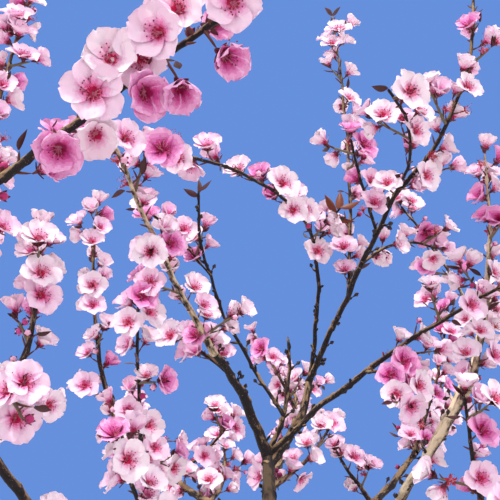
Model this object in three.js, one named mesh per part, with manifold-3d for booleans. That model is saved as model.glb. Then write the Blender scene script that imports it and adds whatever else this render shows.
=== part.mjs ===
// A young cherry blossom tree: a short bare trunk with a root flare, boughs spreading from a fork like an
// open vase, and flowering twigs that carry pink five-petalled blossoms.
// Millimetres, +Z up. The foot of the trunk is cut flat and rests on the ground at the origin.
// The side that faces -Y is the one seen from the viewing point, low down and looking up into the crown.
import * as THREE from "three";
import { mergeVertices } from "three/addons/utils/BufferGeometryUtils.js";
import Module from "manifold-3d";

const wasm = await Module();
wasm.setup();
const { Manifold } = wasm;

// Driving dimensions.
const CLEARANCE = 0.3; // air between neighbouring pieces
const FORK = new THREE.Vector3(20, -15, 1150); // where the trunk divides
const TRUNK_BOW = 11; // how far the trunk bends out of straight
const TRUNK_FOOT = 27; // radius above the root flare
const TRUNK_TOP = 9.5; // radius just under the fork
const FLARE = { depth: 17, height: 48, roots: 5, ridge: 0.16 }; // swelling of the foot and its root ridges
const TRUNK_SIDES = 15;
const TRUNK_RINGS = 14;
const BOUGH_SIDES = 6;
const STEM_SIDES = 4;
const TWIG_SIDES = 3;
const RING_STEP = 90; // length of bough between two rings of its skin

// A flowering stem, its side twigs and its blossoms. A blossom is larger than life: it stands for a spray.
const STEM = { base: 5.2, tip: 1.8 };
const TWIG = { step: 90, first: 30, least: 24, base: 2.1, tip: 1.4, spread: 52, reach: 100 };
const BLOSSOM = { step: 50, petals: 5, wide: 28, rim: 22, heart: 8, seat: 0.8 };
const CLOSEST = 40; // nearest that two blossom centres of one mass come
const SMALLER = 0.65; // size of a blossom where a whole one has no room
const SLIVER = 0.2; // facets smaller than this are merged into their neighbours
const GOLDEN = 137.5; // degrees from one twig or blossom round the stem to the next

const BARK = 0x54443a;
const PALE_BARK = 0x9b8b76;
const PETALS = 0xf3bccd;

// Each bough: the limb it grows from, the share of that limb's length where it starts, its heading (degrees
// anticlockwise from +X), its rise above level, its length, how far heading and rise change on the way to
// its tip, and its radius at the base and at the tip.
const BOUGHS = {
  left_bough: ["trunk", 1, -120, 35, 120, 15, -20, 8.6, 7.2],
  left_outer_bough: ["left_bough", 1, -115, 10, 100, 0, -10, 6.2, 5.2],
  centre_bough: ["trunk", 0.985, 15, 50, 165, -80, 20, 7.6, 5.8],
  centre_spur: ["trunk", 1, -40, 55, 195, -65, -5, 4.8, 2],
  slender_bough: ["centre_spur", 0.35, -145, 47, 410, 61, -38, 3.3, 1.8],
  upright_bough: ["centre_bough", 1, -75, 50, 235, -25, -30, 3.9, 2.9],
  leaf_spur: ["upright_bough", 0.96, -70, 20, 85, 15, -5, 2.1, 1.5],
  high_bough: ["centre_bough", 1, -65, 30, 360, -10, -25, 4.9, 3.4],
  right_bough: ["trunk", 1, -45, 20, 230, 0, -10, 5, 4],
  pale_bough: ["trunk", 0.7, -35, 45, 490, 0, 0, 8.5, 5.2],
  pale_side_bough: ["pale_bough", 0.62, 20, 55, 405, 0, 5, 4.8, 3.4],
  near_bough: ["trunk", 0.64, -155, 14, 795, 45, 8, 10.5, 5],
  near_side_bough: ["near_bough", 1, -30, 6, 308, 0, 0, 4.7, 3.9],
  edge_bough: ["trunk", 0.74, -165, 10, 525, 50, 20, 9, 5.4],
  far_left_bough: ["trunk", 0.8, 170, 35, 310, 10, 20, 8, 5],
  back_left_bough: ["trunk", 0.88, 115, 35, 360, 35, 5, 8, 5],
  back_bough: ["trunk", 0.94, 90, 35, 410, -35, 30, 8.5, 5],
  back_right_bough: ["trunk", 0.86, 45, 24, 429, -29, 30, 8.5, 5],
  low_right_bough: ["trunk", 0.68, 0, 25, 500, -55, -5, 9.5, 5.5],
  front_right_bough: ["trunk", 0.66, -45, 15, 425, -20, 5, 9, 5.5],
  rear_low_bough: ["trunk", 0.67, 95, 28, 400, 20, 5, 9, 5.5],
  rear_left_bough: ["trunk", 0.71, 150, 25, 400, 15, 5, 9, 5.5],
  rear_right_bough: ["trunk", 0.73, 40, 28, 410, -20, 5, 9, 5.5],
};

// Each flowering mass: the limb its stem grows from and the same five numbers as a bough, then how far its
// side twigs reach as a share of TWIG.reach.
const MASSES = {
  left_mass: ["left_outer_bough", 1, -110, 5, 420, 10, -5, 0.9],
  left_side_mass: ["left_outer_bough", 0.5, -170, 40, 110, -25, 0, 0.7],
  slender_mass: ["slender_bough", 0.64, -135, 30, 165, 20, -52, 0.5],
  low_side_mass: ["low_right_bough", 0.7, -117, 40, 246, 19, 0, 0.7],
  upright_mass: ["upright_bough", 1, -100, -21, 448, -50, -3, 0.35],
  high_mass: ["high_bough", 1, -55, 0, 435, -25, 100, 0.8],
  high_side_mass: ["high_bough", 0.96, -70, 0, 235, -60, -15, 0.8],
  high_left_mass: ["high_bough", 0.8, -115, 40, 155, 10, -25, 0.6],
  high_right_mass: ["high_bough", 0.64, -5, 50, 155, 30, -55, 0.7],
  upper_mass: ["high_bough", 0.47, -80, 60, 545, -25, 10, 0.45],
  right_mass: ["right_bough", 1, -45, 10, 270, 5, -10, 0.9],
  right_under_mass: ["right_bough", 0.93, -55, -25, 130, -15, -55, 0.6],
  pale_mass: ["pale_bough", 1, -65, 50, 355, -25, 15, 0.9],
  pale_side_mass: ["pale_side_bough", 1, -130, 55, 285, 0, -50, 0.8],
  pale_back_mass: ["pale_side_bough", 0.8, 20, 70, 300, 0, -20, 1],
  near_mass: ["near_side_bough", 1, -36, 8, 290, 12, 23, 0.45],
  edge_mass: ["edge_bough", 1, -30, 15, 255, -75, 50, 0.7],
  edge_low_mass: ["edge_bough", 0.9, -75, -15, 245, 15, 5, 0.7],
  edge_tall_mass: ["edge_bough", 0.97, -93, 33, 636, 16, 58, 0.7],
  far_left_mass: ["far_left_bough", 1, -125, 40, 445, 40, 25, 0.6],
  far_left_low_mass: ["far_left_bough", 0.9, -90, 10, 350, 5, 10, 0.7],
  front_left_mass: ["edge_bough", 0.25, -95, 5, 345, -10, 15, 0.6],
  back_low_mass: ["back_left_bough", 0.6, 70, 40, 380, 45, 35, 0.8],
  back_left_mass: ["back_left_bough", 0.95, -15, 25, 155, -25, 20, 1],
  rear_left_high_mass: ["back_left_bough", 1, 130, 45, 330, -20, 10, 1.1],
  back_mass: ["back_bough", 0.97, -125, 52, 190, -30, 0, 0.9],
  back_side_mass: ["back_right_bough", 0.62, -150, 51, 116, 36, -37, 0.6],
  fork_mass: ["trunk", 0.95, 60, 36, 220, -60, 25, 0.9],
  rear_high_mass: ["back_bough", 1, 85, 45, 320, 20, 5, 1.1],
  back_right_mass: ["back_right_bough", 0.96, -50, 50, 308, -6, 19, 0.9],
  rear_right_high_mass: ["back_right_bough", 1, 50, 40, 314, 0, 27, 1.1],
  low_right_mass: ["low_right_bough", 1, -75, 40, 250, 5, 5, 1],
  front_right_mass: ["front_right_bough", 1, -80, -10, 170, 10, 25, 0.8],
  rear_low_mass: ["rear_low_bough", 1, 100, 40, 300, 10, 10, 1.1],
  rear_left_mass: ["rear_left_bough", 1, 160, 35, 300, 10, 15, 1.1],
  rear_right_mass: ["rear_right_bough", 1, 25, 35, 300, -15, 15, 1.1],
};
const PALE = new Set(["pale_bough", "pale_side_bough"]);

// The crown stays open along these lines of sight, each the heading, rise and half-angle of a cone from the
// viewing point.
const VIEWPOINT = new THREE.Vector3(-9, -1095, 533);
const OPENINGS = [
  [88, 55, 4],
  [84, 61, 2.3],
  [89, 44, 2.9],
  [107, 28, 2.9],
  [97, 32, 1.2],
  [80, 31, 1.8],
  [69, 59, 2.7],
  [68, 47, 1.5],
];

const { degToRad: radians, radToDeg: degrees, lerp } = THREE.MathUtils;

function direction(heading, rise) {
  const h = radians(heading);
  const r = radians(rise);
  return new THREE.Vector3(Math.cos(r) * Math.cos(h), Math.cos(r) * Math.sin(h), Math.sin(r));
}

// Points along a line whose heading and rise change evenly from its start to its tip.
function arc(start, heading, rise, length, turn, lift, steps) {
  const line = [start.clone()];
  for (let i = 0; i < steps; i++) {
    const share = (i + 0.5) / steps;
    const way = direction(heading + turn * share, rise + lift * share);
    line.push(line[i].clone().addScaledVector(way, length / steps));
  }
  return line;
}

function along(line, share) {
  const place = share * (line.length - 1);
  const i = Math.min(Math.floor(place), line.length - 2);
  return line[i].clone().lerp(line[i + 1], place - i);
}

function wayAt(line, share) {
  const i = Math.min(Math.floor(share * (line.length - 1)), line.length - 2);
  return line[i + 1].clone().sub(line[i]).normalize();
}

// A direction square to `way`, turned `angle` degrees round it.
function across(way, angle) {
  const side = new THREE.Vector3(0, 0, 1).cross(way);
  if (side.length() < 0.1) side.set(1, 0, 0);
  side.normalize();
  return side.applyAxisAngle(way, radians(angle));
}

function solid(geometry) {
  geometry.deleteAttribute("normal");
  geometry.deleteAttribute("uv");
  const merged = mergeVertices(geometry, 1e-4);
  return new Manifold(
    new wasm.Mesh({
      numProp: 3,
      vertProperties: merged.attributes.position.array,
      triVerts: new Uint32Array(merged.index.array),
    }),
  );
}

// A limb's skin: a cylinder with a ring at each point of `line`, as wide there as `girth(share, angle)`
// says. `grow` makes it bigger all round, for cutting clearance into a neighbour.
function skin(line, girth, sides, grow = 0) {
  const rings = line.length - 1;
  const tube = new THREE.CylinderGeometry(1, 1, 1, sides, rings);
  const frames = [];
  let side = across(wayAt(line, 0), 0);
  for (let i = 0; i <= rings; i++) {
    const way = line[Math.min(i + 1, rings)].clone().sub(line[Math.max(i - 1, 0)]).normalize();
    side = side.addScaledVector(way, -side.dot(way)).normalize();
    const centre = line[i].clone();
    if (i === 0) centre.addScaledVector(way, -grow);
    if (i === rings) centre.addScaledVector(way, grow);
    frames.push({ centre, u: side.clone(), w: side.clone().cross(way) });
  }
  const at = tube.attributes.position;
  for (let k = 0; k < at.count; k++) {
    const i = Math.round((at.getY(k) + 0.5) * rings);
    const { centre, u, w } = frames[i];
    const x = at.getX(k);
    const z = at.getZ(k);
    const wide = girth(i / rings, Math.atan2(z, x)) + grow;
    at.setXYZ(k, ...centre.clone().addScaledVector(u, wide * x).addScaledVector(w, wide * z));
  }
  return solid(tube);
}

// A blossom: a shallow cup turned with one corner for each petal. Its point is seated in the twig.
function blossom(place, facing, twist, size) {
  const { petals, wide, rim, heart } = BLOSSOM;
  const profile = [new THREE.Vector2(0, 0), new THREE.Vector2(wide, rim), new THREE.Vector2(0, heart)];
  const cup = new THREE.LatheGeometry(profile, petals).scale(size, size, size);
  const side = across(facing, twist);
  const frame = new THREE.Matrix4().makeBasis(side, facing, side.clone().cross(facing)).setPosition(place);
  return solid(cup.applyMatrix4(frame));
}

// What already stands where, as rods with a radius and the piece they belong to.
const rods = [];

function addRods(owner, line, girth) {
  for (let i = 0; i + 1 < line.length; i++) {
    const wide = Math.max(girth(i / (line.length - 1)), girth((i + 1) / (line.length - 1)));
    rods.push({ owner, a: line[i], b: line[i + 1], wide });
  }
}

// The least distance between the rods a-b and c-d.
function between(a, b, c, d) {
  const u = b.clone().sub(a);
  const v = d.clone().sub(c);
  const w = a.clone().sub(c);
  const uu = u.dot(u);
  const uv = u.dot(v);
  const vv = v.dot(v);
  const uw = u.dot(w);
  const vw = v.dot(w);
  const square = uu * vv - uv * uv;
  let s = square > 1e-9 ? THREE.MathUtils.clamp((uv * vw - vv * uw) / square, 0, 1) : 0;
  let t = vv > 1e-9 ? (uv * s + vw) / vv : 0;
  if (t < 0 || t > 1) {
    t = THREE.MathUtils.clamp(t, 0, 1);
    s = uu > 1e-9 ? THREE.MathUtils.clamp((uv * t - uw) / uu, 0, 1) : 0;
  }
  return w.addScaledVector(u, s).addScaledVector(v, -t).length();
}

function clear(owner, a, b, wide) {
  return rods.every((rod) => rod.owner === owner || between(a, b, rod.a, rod.b) > wide + rod.wide + 1);
}

function inOpening(place, wide) {
  const sight = place.clone().sub(VIEWPOINT);
  const margin = Math.asin(wide / sight.length());
  return OPENINGS.some(([heading, rise, half]) => {
    return sight.angleTo(direction(heading, rise)) < radians(half) + margin;
  });
}

// Even random numbers from 0 to 1 that are the same on every run.
function randomFrom(seed) {
  let state = seed >>> 0;
  return () => {
    state = (state + 0x6d2b79f5) >>> 0;
    let t = Math.imul(state ^ (state >>> 15), 1 | state);
    t = (t + Math.imul(t ^ (t >>> 7), 61 | t)) ^ t;
    return ((t ^ (t >>> 14)) >>> 0) / 4294967296;
  };
}

// Every limb by name: its centre line, its radius along that, and a function that makes its solid.
const limbs = {};

function trunkAxis(high) {
  const bow = Math.sin(Math.PI * high) * TRUNK_BOW;
  const sway = Math.sin(2 * Math.PI * high) * TRUNK_BOW * 0.5;
  return new THREE.Vector3(FORK.x * high + bow, FORK.y * high - sway, FORK.z * high);
}

function trunkGirth(high, angle = 0) {
  const flare = Math.exp((-high * FORK.z) / FLARE.height);
  const ridge = 1 + FLARE.ridge * flare * Math.cos(FLARE.roots * angle);
  return (lerp(TRUNK_FOOT, TRUNK_TOP, high) + FLARE.depth * flare) * ridge;
}

// The trunk's rings stand closer together in the root flare, and the lowest is cut off level with the
// ground.
function addTrunk() {
  const evenly = (count, placeAt) => Array.from({ length: count + 1 }, (_, i) => placeAt(i / count));
  const ringHeight = (share) => 1.02 * share ** 1.5 - 0.02;
  const rings = evenly(TRUNK_RINGS, (share) => trunkAxis(ringHeight(share)));
  const girth = (share, angle) => trunkGirth(Math.max(ringHeight(share), 0), angle);
  limbs.trunk = {
    line: evenly(20, trunkAxis),
    girth: trunkGirth,
    make: (grow) => skin(rings, girth, TRUNK_SIDES, grow).trimByPlane([0, 0, 1], 0),
  };
}

function addLimb(name, [parent, share, heading, rise, length, turn, lift, base, tip], sides) {
  const steps = Math.max(3, Math.ceil(length / RING_STEP));
  const line = arc(along(limbs[parent].line, share), heading, rise, length, turn, lift, steps);
  const girth = (part) => lerp(base, tip, part);
  limbs[name] = { parent, line, girth, make: (grow) => skin(line, girth, sides, grow) };
}

addTrunk();
for (const [name, row] of Object.entries(BOUGHS)) addLimb(name, row, BOUGH_SIDES);
for (const [name, [parent, share, ...rest]] of Object.entries(MASSES)) {
  const from = limbs[parent].girth(share);
  const base = Math.min(share === 1 ? from : 0.7 * from, STEM.base);
  addLimb(name, [parent, share, ...rest.slice(0, 5), base, STEM.tip], STEM_SIDES);
}
for (const [name, { line, girth }] of Object.entries(limbs)) addRods(name, line, girth);

// Side twigs stand round the stem a golden angle apart, and blossoms round the stem and each twig the same
// way. What would touch another piece or stand in an opening is left out.
function flower(name, seed) {
  const random = randomFrom(seed);
  const { line } = limbs[name];
  const [, , , , length, , , reach] = MASSES[name];
  const pieces = [];
  const twigs = [];
  const hearts = [];

  // `girth` is the limb's radius there, or 0 at its tip.
  const bloom = (place, way, angle, girth) => {
    const tip = girth === 0;
    const lean = tip ? 0.15 : 0.8 + 0.4 * random();
    const facing = way
      .clone()
      .multiplyScalar(tip ? 1 : 0.45)
      .addScaledVector(across(way, angle), lean)
      .add(new THREE.Vector3(0.1, -0.25, 0.1))
      .normalize();
    const twist = 72 * random();
    for (const size of [1, SMALLER]) {
      const heart = place.clone().addScaledVector(facing, 0.5 * BLOSSOM.rim * size);
      const wide = BLOSSOM.wide * size;
      if (hearts.some((other) => other.heart.distanceTo(heart) < CLOSEST)) continue;
      if (inOpening(heart, 0.5 * wide) || !clear(name, heart, heart, wide)) continue;
      hearts.push({ heart, wide });
      const point = place.clone().addScaledVector(facing, tip ? -BLOSSOM.seat : 0.3 * girth);
      pieces.push(blossom(point, facing, twist, size));
      break;
    }
  };

  for (let at = TWIG.first, k = 0; at < length; at += TWIG.step, k++) {
    const share = Math.min((at + 8 * random()) / length, 0.97);
    const angle = k * GOLDEN + 50 * random();
    const spread = radians(TWIG.spread + 16 * random());
    const long = TWIG.reach * reach * (0.5 + 0.5 * random()) * (1 - 0.4 * share);
    const turn = 20 * random() - 10;
    const lift = 15 * random();
    const way = wayAt(line, share);
    const side = across(way, angle);
    const out = way.multiplyScalar(Math.cos(spread)).addScaledVector(side, Math.sin(spread));
    const heading = degrees(Math.atan2(out.y, out.x));
    const rise = degrees(Math.asin(out.z));
    for (const size of [1, SMALLER]) {
      const twig = arc(along(line, share), heading, rise, long * size, turn, lift, 2);
      const room = (i) => clear(name, twig[i - 1], twig[i], TWIG.base) && !inOpening(twig[i], 4);
      if (!room(1) || !room(2) || long * size < TWIG.least) continue;
      twigs.push(twig);
      pieces.push(skin(twig, (part) => lerp(TWIG.base, TWIG.tip, part), TWIG_SIDES));
      break;
    }
  }

  bloom(along(line, 1), wayAt(line, 1), 0, 0);
  for (const twig of twigs) bloom(along(twig, 1), wayAt(twig, 1), 0, 0);
  for (const twig of twigs) {
    const count = Math.floor((twig[0].distanceTo(twig[2]) - 14) / BLOSSOM.step);
    for (let i = 1; i <= count; i++) {
      const share = i / (count + 1);
      bloom(along(twig, share), wayAt(twig, share), i * GOLDEN + 90 * random(), TWIG.tip);
    }
  }
  for (let at = 12, i = 0; at + BLOSSOM.step < length; at += BLOSSOM.step, i++) {
    const share = (at + BLOSSOM.step * random()) / length;
    bloom(along(line, share), wayAt(line, share), i * GOLDEN, limbs[name].girth(share));
  }
  for (const twig of twigs) addRods(name, twig, () => TWIG.base);
  for (const { heart, wide } of hearts) rods.push({ owner: name, a: heart, b: heart, wide });
  return pieces;
}

// The biggest body of a shape: scraps that a cut leaves are dropped and sealed hollows are filled.
function whole(shape) {
  return shape.decompose().reduce((best, body) => (body.volume() > best.volume() ? body : best));
}

function near(a, b) {
  const one = a.boundingBox();
  const two = b.boundingBox();
  return [0, 1, 2].every((i) => one.min[i] < two.max[i] + 1 && two.min[i] < one.max[i] + 1);
}

const tree = new THREE.Group();
tree.name = "blossom_tree";
const finished = [];
Object.entries(limbs).forEach(([name, limb], index) => {
  let body = limb.make(0);
  for (const other of finished) {
    const grown = limbs[other].make(CLEARANCE);
    if (near(body, grown)) body = whole(body.subtract(grown));
  }
  if (MASSES[name]) {
    body = whole(Manifold.union([body, ...flower(name, 700 + 31 * index)])).simplify(SLIVER);
  }
  finished.push(name);
  const cut = body.getMesh();
  const geometry = new THREE.BufferGeometry()
    .setAttribute("position", new THREE.BufferAttribute(cut.vertProperties, 3))
    .setIndex(new THREE.BufferAttribute(cut.triVerts, 1));
  geometry.computeVertexNormals();
  const color = MASSES[name] ? PETALS : PALE.has(name) ? PALE_BARK : BARK;
  const mesh = new THREE.Mesh(geometry, new THREE.MeshStandardMaterial({ color, roughness: 0.85 }));
  mesh.name = name;
  tree.add(mesh);
});

export default tree;
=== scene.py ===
"""A young cherry blossom tree: bark, twigs, blossom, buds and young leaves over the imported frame.

The limbs and flowering masses are grown here by the rule of the part's source, in millimetres, and carried on
to finer twigs and to blossoms of their real size. Finished pieces are in metres.
"""
import functools
import math

import bmesh
import bpy
import numpy as np
from mathutils import Matrix, Vector, noise


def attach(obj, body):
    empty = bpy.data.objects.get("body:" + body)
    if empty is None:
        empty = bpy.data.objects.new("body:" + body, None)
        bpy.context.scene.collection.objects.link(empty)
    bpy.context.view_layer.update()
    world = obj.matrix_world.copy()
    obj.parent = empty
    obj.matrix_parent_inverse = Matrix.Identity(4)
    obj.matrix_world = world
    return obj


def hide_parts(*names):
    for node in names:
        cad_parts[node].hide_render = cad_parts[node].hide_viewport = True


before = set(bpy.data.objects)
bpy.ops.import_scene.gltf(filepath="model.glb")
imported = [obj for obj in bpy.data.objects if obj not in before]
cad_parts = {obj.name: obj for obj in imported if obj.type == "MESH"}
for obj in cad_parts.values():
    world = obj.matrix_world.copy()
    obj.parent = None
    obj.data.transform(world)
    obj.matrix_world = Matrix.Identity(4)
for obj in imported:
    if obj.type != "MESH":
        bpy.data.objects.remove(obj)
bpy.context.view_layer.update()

bl_info = {
    "name": "Cherry blossom tree",
    "version": (1, 0, 0),
    "blender": (4, 5, 0),
    "location": "3D View > Sidebar > Blossom tree",
    "description": "Grows bark, twigs and blossom round the frame of a young cherry blossom tree",
    "category": "Add Mesh",
}

MM = 0.001
GOLDEN = 137.5  # degrees from one twig or blossom to the next

# The trunk and the growth rule, as in the part's source.
FORK = np.array([20.0, -15.0, 1150.0])
TRUNK_BOW = 11
TRUNK_FOOT = 27
TRUNK_TOP = 9.5
FLARE_DEPTH, FLARE_HEIGHT, FLARE_ROOTS, FLARE_RIDGE = 17, 48, 5, 0.16
RING_STEP = 90
STEM_BASE, STEM_TIP = 5.2, 1.8
TWIG_STEP, TWIG_FIRST, TWIG_LEAST = 90, 30, 24
TWIG_BASE, TWIG_TIP, TWIG_SPREAD, TWIG_REACH = 2.1, 1.4, 52, 100
SPRAY_STEP, SPRAY_WIDE, SPRAY_RIM = 50, 28, 22
CLOSEST = 40  # nearest that two sprays of one mass come
SMALLER = 0.65  # size of a twig or spray where a whole one has no room

# Each bough: the limb it grows from, the share of that limb's length where it starts, its heading and rise in
# degrees, its length, how far heading and rise change on the way to its tip, and its radius at base and tip.
BOUGHS = {
    "left_bough": ("trunk", 1, -120, 35, 120, 15, -20, 8.6, 7.2),
    "left_outer_bough": ("left_bough", 1, -115, 10, 100, 0, -10, 6.2, 5.2),
    "centre_bough": ("trunk", 0.985, 15, 50, 165, -80, 20, 7.6, 5.8),
    "centre_spur": ("trunk", 1, -40, 55, 195, -65, -5, 4.8, 2),
    "slender_bough": ("centre_spur", 0.35, -145, 47, 410, 61, -38, 3.3, 1.8),
    "upright_bough": ("centre_bough", 1, -75, 50, 235, -25, -30, 3.9, 2.9),
    "leaf_spur": ("upright_bough", 0.96, -70, 20, 85, 15, -5, 2.1, 1.5),
    "high_bough": ("centre_bough", 1, -65, 30, 360, -10, -25, 4.9, 3.4),
    "right_bough": ("trunk", 1, -45, 20, 230, 0, -10, 5, 4),
    "pale_bough": ("trunk", 0.7, -35, 45, 490, 0, 0, 8.5, 5.2),
    "pale_side_bough": ("pale_bough", 0.62, 20, 55, 405, 0, 5, 4.8, 3.4),
    "near_bough": ("trunk", 0.64, -155, 14, 795, 45, 8, 10.5, 5),
    "near_side_bough": ("near_bough", 1, -30, 6, 308, 0, 0, 4.7, 3.9),
    "edge_bough": ("trunk", 0.74, -165, 10, 525, 50, 20, 9, 5.4),
    "far_left_bough": ("trunk", 0.8, 170, 35, 310, 10, 20, 8, 5),
    "back_left_bough": ("trunk", 0.88, 115, 35, 360, 35, 5, 8, 5),
    "back_bough": ("trunk", 0.94, 90, 35, 410, -35, 30, 8.5, 5),
    "back_right_bough": ("trunk", 0.86, 45, 24, 429, -29, 30, 8.5, 5),
    "low_right_bough": ("trunk", 0.68, 0, 25, 500, -55, -5, 9.5, 5.5),
    "front_right_bough": ("trunk", 0.66, -45, 15, 425, -20, 5, 9, 5.5),
    "rear_low_bough": ("trunk", 0.67, 95, 28, 400, 20, 5, 9, 5.5),
    "rear_left_bough": ("trunk", 0.71, 150, 25, 400, 15, 5, 9, 5.5),
    "rear_right_bough": ("trunk", 0.73, 40, 28, 410, -20, 5, 9, 5.5),
}

# Each flowering mass: the limb its stem grows from, the same five numbers, and how far its twigs reach.
MASSES = {
    "left_mass": ("left_outer_bough", 1, -110, 5, 420, 10, -5, 0.9),
    "left_side_mass": ("left_outer_bough", 0.5, -170, 40, 110, -25, 0, 0.7),
    "slender_mass": ("slender_bough", 0.64, -135, 30, 165, 20, -52, 0.5),
    "low_side_mass": ("low_right_bough", 0.7, -117, 40, 246, 19, 0, 0.7),
    "upright_mass": ("upright_bough", 1, -100, -21, 448, -50, -3, 0.35),
    "high_mass": ("high_bough", 1, -55, 0, 435, -25, 100, 0.8),
    "high_side_mass": ("high_bough", 0.96, -70, 0, 235, -60, -15, 0.8),
    "high_left_mass": ("high_bough", 0.8, -115, 40, 155, 10, -25, 0.6),
    "high_right_mass": ("high_bough", 0.64, -5, 50, 155, 30, -55, 0.7),
    "upper_mass": ("high_bough", 0.47, -80, 60, 545, -25, 10, 0.45),
    "right_mass": ("right_bough", 1, -45, 10, 270, 5, -10, 0.9),
    "right_under_mass": ("right_bough", 0.93, -55, -25, 130, -15, -55, 0.6),
    "pale_mass": ("pale_bough", 1, -65, 50, 355, -25, 15, 0.9),
    "pale_side_mass": ("pale_side_bough", 1, -130, 55, 285, 0, -50, 0.8),
    "pale_back_mass": ("pale_side_bough", 0.8, 20, 70, 300, 0, -20, 1),
    "near_mass": ("near_side_bough", 1, -36, 8, 290, 12, 23, 0.45),
    "edge_mass": ("edge_bough", 1, -30, 15, 255, -75, 50, 0.7),
    "edge_low_mass": ("edge_bough", 0.9, -75, -15, 245, 15, 5, 0.7),
    "edge_tall_mass": ("edge_bough", 0.97, -93, 33, 636, 16, 58, 0.7),
    "far_left_mass": ("far_left_bough", 1, -125, 40, 445, 40, 25, 0.6),
    "far_left_low_mass": ("far_left_bough", 0.9, -90, 10, 350, 5, 10, 0.7),
    "front_left_mass": ("edge_bough", 0.25, -95, 5, 345, -10, 15, 0.6),
    "back_low_mass": ("back_left_bough", 0.6, 70, 40, 380, 45, 35, 0.8),
    "back_left_mass": ("back_left_bough", 0.95, -15, 25, 155, -25, 20, 1),
    "rear_left_high_mass": ("back_left_bough", 1, 130, 45, 330, -20, 10, 1.1),
    "back_mass": ("back_bough", 0.97, -125, 52, 190, -30, 0, 0.9),
    "back_side_mass": ("back_right_bough", 0.62, -150, 51, 116, 36, -37, 0.6),
    "fork_mass": ("trunk", 0.95, 60, 36, 220, -60, 25, 0.9),
    "rear_high_mass": ("back_bough", 1, 85, 45, 320, 20, 5, 1.1),
    "back_right_mass": ("back_right_bough", 0.96, -50, 50, 308, -6, 19, 0.9),
    "rear_right_high_mass": ("back_right_bough", 1, 50, 40, 314, 0, 27, 1.1),
    "low_right_mass": ("low_right_bough", 1, -75, 40, 250, 5, 5, 1),
    "front_right_mass": ("front_right_bough", 1, -80, -10, 170, 10, 25, 0.8),
    "rear_low_mass": ("rear_low_bough", 1, 100, 40, 300, 10, 10, 1.1),
    "rear_left_mass": ("rear_left_bough", 1, 160, 35, 300, 10, 15, 1.1),
    "rear_right_mass": ("rear_right_bough", 1, 25, 35, 300, -15, 15, 1.1),
}
PALE = ("pale_bough", "pale_side_bough")
# Stems in the pale boughs' bark, with painted sunlight all round them.
PALE_STEMS = ("left_mass",)

VIEWPOINT = np.array([-9.0, -1095.0, 533.0])
VIEW_RISE = 45
VIEW_LENS, VIEW_FRAME = 54, 36
TO_VIEW = np.array([0.0, -0.707, -0.707])  # from the crown towards the viewing point
SUNWARD = np.array([-0.12, -0.72, 0.68])  # where the light comes from, and which side of a limb gets painted sunlight, the other side painted shade

# The crown stays open along these lines of sight: heading, rise and half-angle from the viewing point.
OPENINGS = (
    (88, 55, 4),
    (84, 61, 2.3),
    (89, 44, 2.9),
    (107, 28, 2.9),
    (97, 32, 1.2),
    (80, 31, 1.8),
    (69, 59, 2.7),
    (68, 47, 1.5),
)

# Masses by the side of the crown that they fill.
SIDES = {
    "near": ("near_mass", "edge_mass", "edge_tall_mass", "edge_low_mass", "front_left_mass"),
    "left": ("left_mass", "left_side_mass", "slender_mass", "far_left_mass", "far_left_low_mass"),
    "centre": (
        "upright_mass",
        "upper_mass",
        "high_mass",
        "high_side_mass",
        "high_left_mass",
        "high_right_mass",
        "fork_mass",
    ),
    "right": (
        "right_mass",
        "right_under_mass",
        "pale_mass",
        "pale_side_mass",
        "pale_back_mass",
        "low_right_mass",
        "low_side_mass",
        "front_right_mass",
    ),
    "rear": tuple(name for name in MASSES if name.startswith(("back_", "rear_"))),
}
# Masses seen from close by, which get finer blossoms.
FINE = (
    "near_mass",
    "edge_low_mass",
    "front_right_mass",
    "front_left_mass",
    "left_mass",
    "upright_mass",
    "edge_mass",
)
# Masses with mostly deep pink blossoms: partly their own colour, partly painted light shining through shaded,
# backlit petals.
ROSY_AND_BACKLIT = ("near_mass",)
# Length of stem without flowers at its tip.
BARE_TIPS = {"upper_mass": 45, "high_mass": 150, "high_side_mass": 24}
# Stretches of limbs that no flower hides from the viewing point, as shares of the limb's length.
IN_SIGHT = {
    "left_mass": (0.05, 0.68),
    "left_outer_bough": (0, 1),
    "near_mass": (0.62, 0.74),
    "right_mass": (0, 0.55),
}
# Boughs that flower too, each from this share of its length on.
FLOWERING = {
    "near_bough": 0.45,
    "near_side_bough": 0,
    "edge_bough": 0.75,
    "rear_low_bough": 0.6,
    "rear_left_bough": 0.6,
    "rear_right_bough": 0.6,
    "back_left_bough": 0.7,
    "back_bough": 0.7,
}
# Flowers turned to the viewing point: share of the stem, and how far beside and before it they stand.
TURNED = {
    "near_mass": (
        (0.19, 9, 9),
        (0.36, -11, 9),
        (0.47, 13, 9),
        (0.6, -16, 9),
        (0.57, 28, 9),
        (0.8, -3, 9),
        (0.7, 24, 9),
        (0.45, -22, -8),
        (0.53, -9, -10),
        (0.67, -24, -6),
        (0.3, 16, -12),
    )
}
# Leaves round a bough's tip: how many, their size, and which of the leaf colours they have.
TIP_LEAVES = {"leaf_spur": (5, 1.5, 1), "slender_bough": (3, 1.05, 0)}

# Kinds of flower, each with the draw from 0 to 1 up to which it is chosen: in a spray, on a fine twig, where
# a leaf takes the rest, and on a bough's spur. A bough that flowers draws from the first part only.
SPRAY_KINDS = (("open", 0.7), ("half", 0.82), ("bud", 0.91), ("spent", 1))
TWIG_KINDS = (("open", 0.67), ("half", 0.76), ("bud", 0.83), ("spent", 0.9))
SPUR_KINDS = (("open", 0.08), ("bud", 0.12), ("closed", 1))
RICH_DRAW = 0.12
# How far apart flowers of each kind stand, and how high their middle is above the twig.
SPACING = {"open": 21.0, "half": 15.0, "bud": 9.0, "spent": 12.0, "closed": 5.0}
HEART_HEIGHT = {"open": 9.0, "half": 8.0, "bud": 5.0, "spent": 6.0, "closed": 4.0}
# Share of deep pink flowers in a rosy mass, where the deep pink is partly painted light through backlit
# petals, and elsewhere, and of pink ones.
DEEP_ROSY_AND_BACKLIT, DEEP_SHARE, PINK_SHARE = 0.55, 0.1, 0.38
TINTS = ("pale", "pink", "rose")
DEEPEST = 2

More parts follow.
